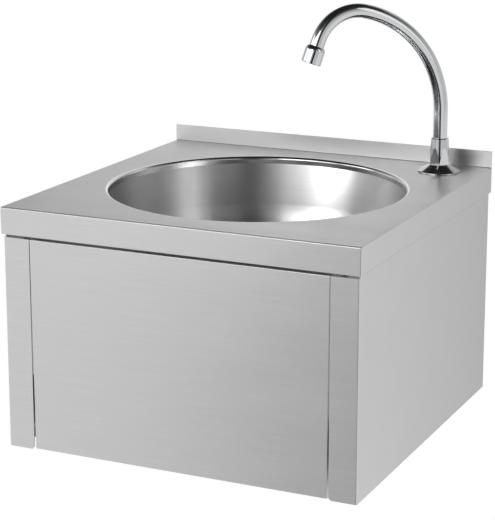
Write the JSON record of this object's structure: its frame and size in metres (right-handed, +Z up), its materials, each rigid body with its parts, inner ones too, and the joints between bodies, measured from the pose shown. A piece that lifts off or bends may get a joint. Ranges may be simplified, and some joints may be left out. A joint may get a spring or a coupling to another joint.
{
  "type": "wall-hung hand wash basin",
  "caption": "Wall-hung stainless steel hand wash basin with a round bowl, swivel gooseneck spout and a hinged front panel that works a knee valve.",
  "frame": {"origin": "middle of the four wall screws, on the face of the wall", "axes": "+X to the user's right, +Y from the user into the wall, +Z up"},
  "size_m": [0.4, 0.4, 0.453],
  "materials": {
    "satin_steel": "satin, finely brushed",
    "bowl_steel": "soft satin, pressed and polished",
    "mill_steel": "plain mill finish",
    "fastener_steel": "bright stainless",
    "chrome_plate": "polished chrome plate",
    "brass": "machined",
    "nickel_plate": "nickel plate",
    "rubber": "black rubber",
    "nylon": "natural nylon",
    "white_plastic": "moulded polypropylene",
    "knob_plastic": "moulded black plastic",
    "spring_steel": "drawn spring wire",
    "steel_braid": "braided stainless wire"
  },
  "bodies": {
    "basin": {"deck": "satin_steel", "casing_left": "satin_steel", "casing_right": "satin_steel", "bowl": "bowl_steel", "rear_rail": "mill_steel", "valve_rail": "mill_steel", "hinge_brackets": "mill_steel", "lip_studs": "fastener_steel", "lip_washers": "fastener_steel", "lip_nuts": "fastener_steel", "hinge_rod": "fastener_steel", "hinge_clips": "fastener_steel", "strainer_screw": "fastener_steel", "shank_washer": "fastener_steel", "valve_washer": "fastener_steel", "strainer": "fastener_steel", "spout_flange": "chrome_plate", "spout_union_nut": "chrome_plate", "waste_body": "chrome_plate", "knee_valve_body": "brass", "valve_gland": "brass", "valve_nipple": "brass", "mixer_body": "brass", "spindle_gland": "brass", "spout_shank": "brass", "hose_tails": "brass", "valve_locknut": "nickel_plate", "shank_locknut": "nickel_plate", "hose_nuts": "nickel_plate", "hose_ferrules": "nickel_plate", "stop_buffers": "rubber", "valve_stem_seal": "rubber", "hose_seals": "rubber", "spout_gasket": "rubber", "waste_seals": "rubber", "trap_seals": "rubber", "check_valves": "nylon", "trap_nuts": "white_plastic", "trap_body": "white_plastic", "trap_cup": "white_plastic", "outlet_pipe": "white_plastic", "valve_spring": "spring_steel", "supply_hose": "steel_braid"},
    "knee_panel_body": {"knee_panel": "satin_steel", "panel_stiffener": "mill_steel", "push_pad": "rubber", "stop_tabs": "mill_steel", "hinge_bushes": "nylon"},
    "valve_button_body": {"valve_button": "chrome_plate", "poppet": "brass", "poppet_seal": "rubber"},
    "mixer_knob_body": {"mixer_spindle": "brass", "mixer_knob": "knob_plastic", "knob_screw": "fastener_steel"},
    "spout_body": {"spout_tube": "chrome_plate", "spout_spigot": "brass", "spout_orings": "rubber", "spout_nozzle": "chrome_plate", "aerator": "nylon", "aerator_seal": "rubber"}
  },
  "joints": [
    {"name": "spout_swivel", "type": "hinge", "parent": "basin", "child": "spout_body", "pos_m": [0.152, -0.0425, 0.15], "axis": [0, 0, 1], "range_deg": [-50, 130]},
    {"name": "knee_panel_hinge", "type": "hinge", "parent": "basin", "child": "knee_panel_body", "pos_m": [0, -0.3885, 0.108], "axis": [1, 0, 0], "range_deg": [0, 2.4]},
    {"name": "valve_button_slide", "type": "slide", "parent": "basin", "child": "valve_button_body", "axis": [0, 1, 0], "range_m": [0, 0.0075], "stiffness_N_per_m": 2250, "springref_m": -0.006, "deforming": ["valve_spring"]},
    {"name": "mixer_knob_turn", "type": "hinge", "parent": "basin", "child": "mixer_knob_body", "pos_m": [0.1, -0.2732, -0.1], "axis": [0, 0, 1], "range_deg": [-45, 45]}
  ],
  "couplings": [
    {"joint": "valve_button_slide", "follows": "knee_panel_hinge", "m_per_rad": 0.178}
  ]
}
